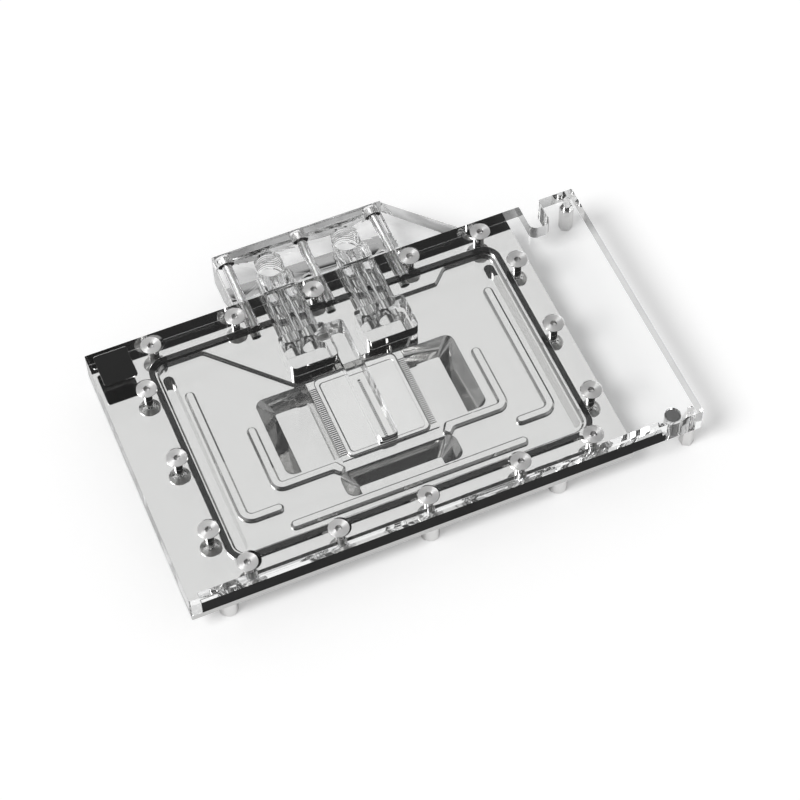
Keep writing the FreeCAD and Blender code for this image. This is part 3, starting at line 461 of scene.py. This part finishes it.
def turningMap(mesh, local):
    # U is the distance from the axis in mm, V the angle round it, kept unbroken inside each face
    corners = np.empty(len(mesh.loops), np.int32)
    mesh.loops.foreach_get("vertex_index", corners)
    corners = corners % len(local)
    reach = np.hypot(local[:, 0], local[:, 1])[corners]
    turn = np.arctan2(local[:, 1], local[:, 0])[corners]
    starts = np.empty(len(mesh.polygons), np.int32)
    mesh.polygons.foreach_get("loop_start", starts)
    sizes = np.empty(len(mesh.polygons), np.int32)
    mesh.polygons.foreach_get("loop_total", sizes)
    middles = np.add.reduceat(local[corners, :2], starts) / sizes[:, None]
    face = np.repeat(np.arctan2(middles[:, 1], middles[:, 0]), sizes)
    turn = face + (turn - face + math.pi) % (2 * math.pi) - math.pi
    turn = np.where(reach < onAxis, face, turn)
    turning = mesh.uv_layers.new(name="turning")
    turning.uv.foreach_set("vector", np.stack([reach, turn], -1).astype(np.float32).ravel())


def turnedMesh(name, rows, places, upright=True):
    # quads between neighbouring rings, a fan of triangles at each end, repeated at every place
    count, around = rows.shape[:2]
    local = np.vstack([rows.reshape(-1, 3), rows[0].mean(0), rows[-1].mean(0)])
    here = np.arange(around)
    after = (here + 1) % around
    below = np.arange(count - 1)[:, None] * around
    quads = np.stack([below + here, below + around + here, below + around + after, below + after], -1)
    quads = quads.reshape(-1, 4)
    last = (count - 1) * around
    first = count * around
    fans = np.vstack([np.stack([after, np.full(around, first), here], -1),
                      np.stack([last + here, np.full(around, first + 1), last + after], -1)])
    solid = local if upright else np.stack([local[:, 0], local[:, 2], -local[:, 1]], -1)
    points = (solid[None] * 0.001 + np.array(places)[:, None]).reshape(-1, 3)
    shift = np.arange(len(places))[:, None, None] * len(local)
    faces = (quads[None] + shift).reshape(-1, 4).tolist() + (fans[None] + shift).reshape(-1, 3).tolist()
    mesh = bpy.data.meshes.new(name)
    mesh.from_pydata(points.tolist(), [], faces)
    turningMap(mesh, local)
    return mesh


def socketRings(look, turns):
    # a hexagonal socket, from its floor up to its bevelled mouth
    socket = hexReach(turns, look["hex"])
    mouth = look["hexMouth"]
    return [(socket, -look["hexDepth"]), (socket, -mouth), (socket + mouth, 0.0)]


def threadRings(look, turns, length):
    # from the end of the plain shank down to the bevelled tip
    start = -length + look["thread"]
    end = -length + look["chamfer"]
    levels = np.linspace(start, end, int(look["rows"] * look["thread"] / look["pitch"]))[1:]
    rings = [(look["shank"], start)]
    for level in levels:
        reach = threadReach(turns, level, look["shank"], look["threadDepth"], look["pitch"], start, end)
        rings.append((reach, level))
    return rings + [(look["shank"] - look["chamfer"], -length)]


coverScrewLook = {
    "around": 48, "hex": 1.25, "hexDepth": 1.6, "hexMouth": 0.1, "edge": 0.08, "head": 4.4,
    "shank": 1.75, "pitch": 0.6, "threadDepth": 0.32, "thread": 2.6, "chamfer": 0.5,
    "rows": 8,                               # rings of points for each pitch of the thread
    "inset": 4.9,                            # from the seal's end to the rows' last screws
    "frontRow": (-1.0, -0.485, 0.03, 0.57, 1.0),   # places from the middle, in shares of the row's half
    "besideEnd": 6.7, "besideMiddle": 5.0,   # back row: from the terminal's screws
    "columnPitch": 36.9,
}


def coverScrewPlaces():
    # two rows of five between the seal's ends, and a column of three at each side
    look = coverScrewLook
    low, high = boxInMillimetres("cover_screws")
    sealLow, sealHigh = boxInMillimetres("cover_seal")
    jointLow, jointHigh = boxInMillimetres("terminal_screws")
    middle = (sealLow[0] + sealHigh[0]) / 2
    reach = (sealHigh[0] - sealLow[0]) / 2 - look["inset"]
    front = low[1] + look["head"]
    back = high[1] - look["head"]
    firstEnd = jointLow[0] + terminalScrewLook["head"]
    lastEnd = jointHigh[0] - terminalScrewLook["head"]
    centre = (firstEnd + lastEnd) / 2
    rowBack = [middle - reach, firstEnd - look["besideEnd"], centre - look["besideMiddle"],
               lastEnd + look["besideMiddle"], middle + reach]
    places = [(x, back) for x in rowBack]
    places += [(middle + share * reach, front) for share in look["frontRow"]]
    level = (front + back) / 2
    for x in (low[0] + look["head"], high[0] - look["head"]):
        places += [(x, level + step * look["columnPitch"]) for step in (-1, 0, 1)]
    return [(x / 1000, y / 1000, high[2] / 1000) for x, y in places], high[2] - low[2]


def makeCoverScrews():
    # countersunk screws: the cone runs from the head's edge to the shank
    look = coverScrewLook
    places, length = coverScrewPlaces()
    turns = fullTurn(look["around"])
    head, shank, edge = look["head"], look["shank"], look["edge"]
    rings = socketRings(look, turns)
    rings += [(head - edge, 0.0), (head, -edge), (shank, shank - head)]
    rings += threadRings(look, turns, length)
    mesh = turnedMesh("coverScrews", stackRings(turns, rings), places)
    addPiece("coverScrews", mesh, screwMetal, "cover_screws", madeCrisp)


terminalScrewLook = {
    "around": 48, "hex": 1.5, "hexDepth": 2.2, "hexMouth": 0.15, "edge": 0.4, "head": 3.5,
    "headHeight": 4.0, "shank": 2.0, "pitch": 0.7, "threadDepth": 0.4, "thread": 14.0, "chamfer": 0.4,
    "rows": 8,
}


def makeTerminalScrews():
    # cap screws along Y: the head at the back, the thread in the cover's back edge
    look = terminalScrewLook
    low, high = boxInMillimetres("terminal_screws")
    length = high[1] - low[1]
    level = (low[2] + high[2]) / 2
    ends = (low[0] + look["head"], high[0] - look["head"])
    places = [(x / 1000, high[1] / 1000, level / 1000) for x in (ends[0], sum(ends) / 2, ends[1])]
    turns = fullTurn(look["around"])
    head, shank, edge, under = look["head"], look["shank"], look["edge"], -look["headHeight"]
    rings = socketRings(look, turns)
    rings += [(head - edge, 0.0), (head, -edge), (head, under), (shank, under)]
    rings += threadRings(look, turns, length)
    mesh = turnedMesh("terminalScrews", stackRings(turns, rings), places, upright=False)
    addPiece("terminalScrews", mesh, screwMetal, "terminal_screws", madeCrisp)


portLook = {
    "around": 96, "bore": 5.9, "crest": 6.7, "pitch": 1.337, "rows": 16,
    "clear": 0.15,           # gap between the tap's core and the bore
    "above": 0.75,           # how far the tap stands out of the port's mouth
    "below": 0.8,            # and stops short of its inner end
}


def cutPortThreads(piece):
    # the tap's shape: a rod just inside the bore, with a ridge that winds up it, taken from the block
    look = portLook
    ports = [mount for mount in frame["record"]["mounts"] if mount["name"].endswith("_port")]
    half = ports[0]["dims"]["length_mm"] / 2
    turns = fullTurn(look["around"])
    core = look["bore"] - look["clear"]
    ridge = core - look["crest"]                 # negative, so that the thread stands out
    start = half + look["above"]
    end = -half + look["below"]
    levels = np.linspace(start, end, int(look["rows"] * (start - end) / look["pitch"]))
    rings = [(threadReach(turns, level, core, ridge, look["pitch"], start, end), level)
             for level in levels]
    mesh = turnedMesh("portTap", stackRings(turns, rings), [mount["pos_m"] for mount in ports])
    tap = bpy.data.objects.new("portTap", mesh)
    scene.collection.objects.link(tap)
    cut = piece.modifiers.new("threads", "BOOLEAN")
    cut.operation = "DIFFERENCE"
    cut.solver = "EXACT"
    cut.object = tap
    applyModifiers(piece)
    piece.data.shade_smooth()
    piece.data.set_sharp_from_angle(angle=math.radians(madeCrisp))
    bpy.data.objects.remove(tap)


makeCoverScrews()
makeTerminalScrews()
cutPortThreads(pieces["terminal_block"])
print("screws and port threads made")

# Floor, light and camera

firstBounce = 0.5            # a path's depth below it means no bounce of that kind yet

floorLook = {"size": 6.0, "color": (0.9, 0.9, 0.9, 1.0), "glow": 0.22}


def makeFloor():
    # pale paint that glows a little where it is seen directly or through the clear pieces
    look = floorLook
    half = look["size"] / 2
    mesh = bpy.data.meshes.new("floor")
    corners = [(-half, -half, 0), (half, -half, 0), (half, half, 0), (-half, half, 0)]
    mesh.from_pydata(corners, [], [(0, 1, 2, 3)])
    floor = bpy.data.objects.new("floor", mesh)
    scene.collection.objects.link(floor)
    material, tree, output = newMaterial("floorWhite")
    paint = addNode(tree, "ShaderNodeBsdfDiffuse", Color=look["color"])
    path = addNode(tree, "ShaderNodeLightPath")
    seen = mathNode(tree, "MAXIMUM", path.outputs["Is Camera Ray"], path.outputs["Is Transmission Ray"])
    straight = mathNode(tree, "LESS_THAN", path.outputs["Glossy Depth"], firstBounce)
    level = mathNode(tree, "MULTIPLY", mathNode(tree, "MULTIPLY", seen, straight), look["glow"])
    glow = addNode(tree, "ShaderNodeEmission", Strength=level)
    total = addNode(tree, "ShaderNodeAddShader")
    connect(tree, total, "0", paint.outputs[0])
    connect(tree, total, "1", glow.outputs[0])
    connect(tree, output, "Surface", total.outputs[0])
    mesh.materials.append(material)


worldLook = {
    "rest": 0.015,                               # the dark surroundings
    "panelTowards": (-0.2113, 0.4532, 0.8660),   # middle of the pale panel over and behind the object
    "panelEdge": (0.76, 0.84),                   # cosines from its outer to its inner edge
    "panel": 1.27,
    "lampTowards": (-0.4330, 0.2500, 0.8660),    # a narrow, brighter lamp inside it, to the left
    "lampEdge": (0.97, 0.985),
    "lamp": 7.0,
    "ring": 0.50,                                # paler walls of the room, for the views from low down
    "ringFoot": (0.10, 0.18),                    # heights over which the ring begins
    "ringHead": (0.44, 0.52),                    # and ends
    "cardTowards": (0.2056, 0.5189, 0.8298),     # a grey card in the panel, seen from outside only
    "cardEdge": (0.972, 0.986),
    "card": 0.32,                                # share of the panel that the card leaves
    "fill": 0.56,                                # even light for matt faces and the floor
    "backdrop": 1.0,                             # what the camera sees past the floor
}


def makeWorld():
    # radiance by direction: panel, lamp, ring and card for glossy and clear faces, even light for matt ones
    look = worldLook
    world = bpy.data.worlds.new("studio")
    scene.world = world
    world.use_nodes = True
    world.cycles.sampling_method = "NONE"
    tree = world.node_tree
    tree.nodes.clear()
    output = tree.nodes.new("ShaderNodeOutputWorld")
    place = addNode(tree, "ShaderNodeTexCoord").outputs["Generated"]
    path = addNode(tree, "ShaderNodeLightPath")
    panel = rangeNode(tree, cosineNode(tree, place, look["panelTowards"]), look["panelEdge"],
                      (look["rest"], look["panel"]), "SMOOTHSTEP")
    lamp = rangeNode(tree, cosineNode(tree, place, look["lampTowards"]), look["lampEdge"],
                     (0.0, look["lamp"]), "SMOOTHSTEP")
    height = addNode(tree, "ShaderNodeSeparateXYZ", Vector=place).outputs["Z"]
    foot = rangeNode(tree, height, look["ringFoot"], (0.0, look["ring"]))
    head = rangeNode(tree, height, look["ringHead"], (1.0, 0.0))
    ring = mathNode(tree, "MULTIPLY", foot, head)
    shine = mathNode(tree, "MAXIMUM", mathNode(tree, "MAXIMUM", panel, lamp), ring)
    card = rangeNode(tree, cosineNode(tree, place, look["cardTowards"]), look["cardEdge"],
                     (0.0, 1 - look["card"]))
    outside = mathNode(tree, "LESS_THAN", path.outputs["Transmission Depth"], firstBounce)
    hidden = mathNode(tree, "MULTIPLY", card, outside)
    shine = mathNode(tree, "MULTIPLY", shine, mathNode(tree, "SUBTRACT", 1.0, hidden))
    matt = mathNode(tree, "GREATER_THAN", path.outputs["Diffuse Depth"], firstBounce)
    shine = mixNode(tree, matt, shine, look["fill"])
    shine = mixNode(tree, path.outputs["Is Camera Ray"], shine, look["backdrop"])
    light = addNode(tree, "ShaderNodeBackground", Strength=shine)
    connect(tree, output, "Surface", light.outputs[0])


lampLook = {"towards": (-0.62, -0.14, 0.75), "strength": 1.84, "angle": 26.0}


def makeLamp():
    # one broad lamp from the left, for the soft shadow on the right
    data = bpy.data.lights.new("leftLamp", "SUN")
    data.energy = lampLook["strength"]
    data.angle = math.radians(lampLook["angle"])
    lamp = bpy.data.objects.new("leftLamp", data)
    scene.collection.objects.link(lamp)
    lamp.rotation_euler = Vector(lampLook["towards"]).to_track_quat("Z", "Y").to_euler()
    lamp.visible_glossy = False
    lamp.visible_transmission = False


cameraLook = {
    "position": (-0.20251, -0.534495, 0.84323),
    "right": (0.921138, -0.388947, -0.014984),
    "down": (-0.330510, -0.761250, -0.557908),
    "forward": (0.205590, 0.518863, -0.829767),
    "lens": 107.58, "sensor": 36.0,
    "near": 0.05, "far": 20.0,
}


def makeCamera():
    look = cameraLook
    data = bpy.data.cameras.new("camera")
    data.sensor_width = look["sensor"]
    data.lens = look["lens"]
    data.clip_start = look["near"]
    data.clip_end = look["far"]
    camera = bpy.data.objects.new("camera", data)
    scene.collection.objects.link(camera)
    axes = [Vector(look["right"]), -Vector(look["down"]), -Vector(look["forward"])]
    turn = Matrix(axes).transposed().to_4x4()
    camera.matrix_world = Matrix.Translation(look["position"]) @ turn
    scene.camera = camera


makeFloor()
makeWorld()
makeLamp()
makeCamera()
scene.view_settings.view_transform = "Standard"
scene.cycles.max_bounces = 32
scene.cycles.transmission_bounces = 24
scene.cycles.glossy_bounces = 16
print("stage made")
